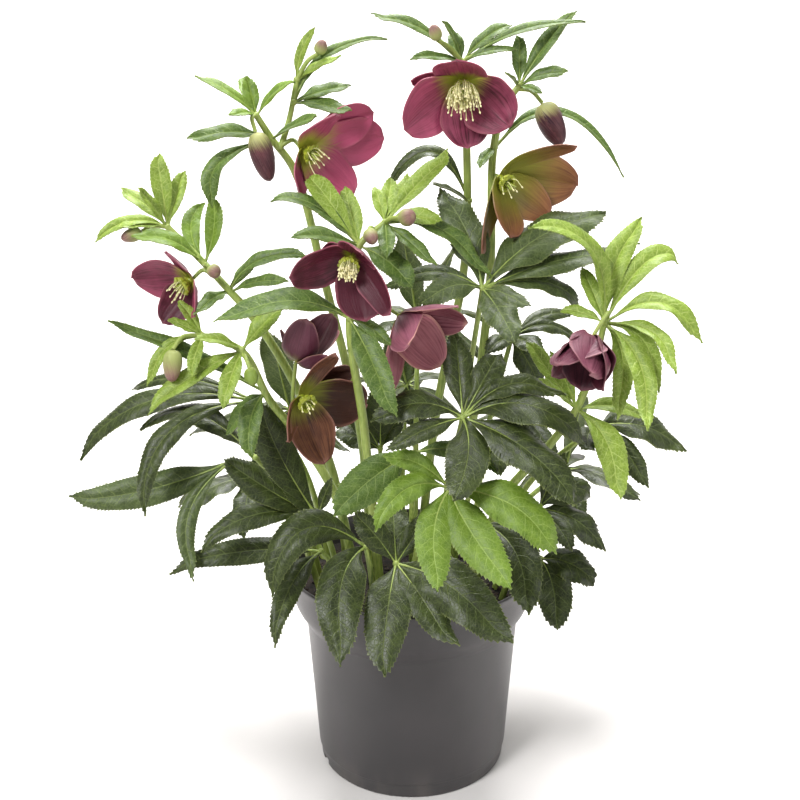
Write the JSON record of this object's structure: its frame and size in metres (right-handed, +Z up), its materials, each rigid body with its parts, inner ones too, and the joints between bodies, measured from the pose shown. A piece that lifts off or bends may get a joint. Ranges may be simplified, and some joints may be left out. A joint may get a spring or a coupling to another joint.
{
  "type": "hellebore plant in a nursery pot",
  "caption": "Flowering hellebore clump in a round flared nursery pot, with toothed leathery leaves, leafy branched stems, open burgundy blooms and hanging buds.",
  "frame": {"origin": "centre of the pot's flat underside", "axes": "+Z up, -Y towards the plant's front, +X to the right seen from the front"},
  "size_m": [0.393, 0.32, 0.502],
  "materials": {
    "pot_plastic": "satin moulded plastic, finely grained",
    "potting_mix": "dark damp peat and bark crumbs",
    "leaf_dark": "leathery, satin, with paler veins",
    "leaf_medium": "young leaf, satin",
    "leaf_bright": "young leaf, satin, translucent",
    "stem_and_bract": "fleshy pale green stem with yellow-green bracts",
    "sepal_magenta": "soft burgundy sepal with darker veins",
    "sepal_rose": "pale rose back of a sepal",
    "sepal_olive": "green and rose sepal",
    "sepal_wine": "dark wine sepal",
    "bloom_centre": "cream stamens and yellow-green nectaries",
    "bud_green": "closed green bud"
  },
  "bodies": {
    "root": {"pot": "pot_plastic", "soil": "potting_mix", "leaf_middle": "leaf_dark", "leaf_high": "leaf_dark", "leaf_inner": "leaf_dark", "leaf_inner_left": "leaf_dark", "leaf_front_bright": "leaf_bright", "leaf_middle_bright": "leaf_medium", "leaf_over_rim": "leaf_dark", "leaf_right_upper": "leaf_dark", "leaf_right_middle": "leaf_dark", "leaf_right_lower": "leaf_dark", "leaf_front_right": "leaf_dark", "leaf_left_upper": "leaf_dark", "leaf_left_arch": "leaf_dark", "leaf_left_long": "leaf_dark", "leaf_left_lower": "leaf_dark", "leaf_left_bottom": "leaf_dark", "leaf_front_left": "leaf_dark", "leaf_back_left": "leaf_dark", "leaf_back": "leaf_dark", "leaf_back_right": "leaf_dark", "leaf_back_high": "leaf_dark", "leaf_side_left": "leaf_dark", "leaf_side_right": "leaf_dark", "stem_left_tall": "stem_and_bract", "stem_middle_tall": "stem_and_bract", "stem_middle_branch": "stem_and_bract", "stem_front": "stem_and_bract", "stem_left_long": "stem_and_bract", "stem_left_low": "stem_and_bract", "stem_right": "stem_and_bract", "bloom_left_tall": "sepal_magenta", "bloom_middle_tall": "sepal_magenta", "bloom_middle_olive": "sepal_olive", "bloom_front": "sepal_magenta", "bloom_front_rose": "sepal_rose", "bloom_far_left": "sepal_magenta", "bloom_back_view": "sepal_rose", "bloom_low_olive": "sepal_olive", "bloom_right": "sepal_wine", "bloom_left_tall_centre": "bloom_centre", "bloom_middle_tall_centre": "bloom_centre", "bloom_middle_olive_centre": "bloom_centre", "bloom_front_centre": "bloom_centre", "bloom_front_rose_centre": "bloom_centre", "bloom_far_left_centre": "bloom_centre", "bloom_back_view_centre": "bloom_centre", "bloom_low_olive_centre": "bloom_centre", "bloom_right_centre": "bloom_centre", "bud_left_tall": "sepal_wine", "bud_left_top": "sepal_rose", "bud_middle_top": "sepal_olive", "bud_middle_right": "sepal_wine", "bud_front_upper": "sepal_rose", "bud_front_lower": "sepal_rose", "bud_far_left": "sepal_rose", "bud_left_small": "sepal_rose", "bud_left_low": "sepal_rose", "bud_left_inner": "bud_green"}
  },
  "joints": []
}
